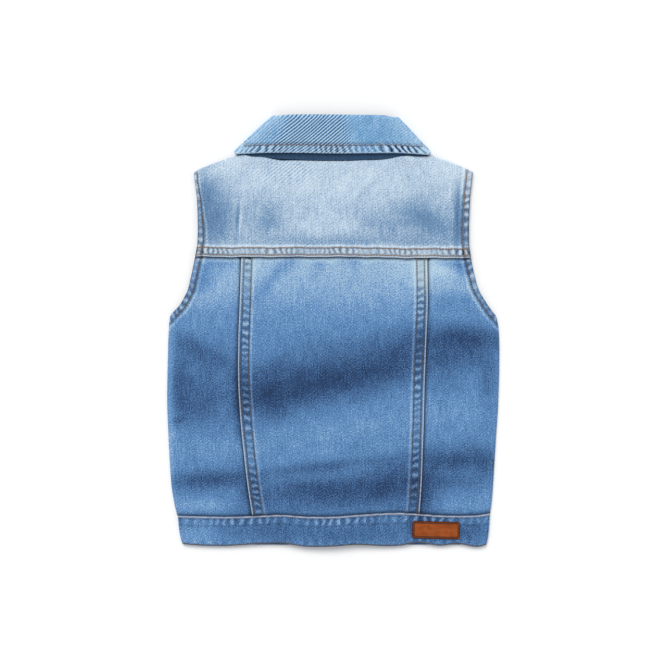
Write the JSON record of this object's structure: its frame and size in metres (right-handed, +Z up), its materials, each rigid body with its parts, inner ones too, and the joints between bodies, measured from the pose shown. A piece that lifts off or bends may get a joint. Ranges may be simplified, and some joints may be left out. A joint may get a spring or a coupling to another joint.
{
  "type": "denim vest",
  "caption": "Child's sleeveless denim jacket with turned collar, back yoke, lapped panel seams and a buttoned front, laid flat face down.",
  "frame": {"origin": "on the surface that the vest lies on, under the middle of its outline", "axes": "+Z up through the back of the vest, +Y from the hem to the collar, +X to the right seen from above"},
  "size_m": [0.3326, 0.4328, 0.0137],
  "materials": {
    "denim_mid": "worn and washed cotton twill",
    "denim_light": "bleached cotton twill",
    "leather": "waxed",
    "brass": "aged",
    "thread": "spun cotton thread"
  },
  "bodies": {
    "root": {"back_yoke": "denim_light", "back_centre_panel": "denim_mid", "back_side_panel_left": "denim_mid", "back_side_panel_right": "denim_mid", "front_panel_left": "denim_mid", "front_panel_right": "denim_mid", "front_band_left": "denim_mid", "front_band_right": "denim_mid", "waistband": "denim_mid", "collar": "denim_light", "waistband_patch": "leather", "button_1": "brass", "button_2": "brass", "button_3": "brass", "button_4": "brass", "button_5": "brass", "button_6": "brass"}
  },
  "joints": []
}
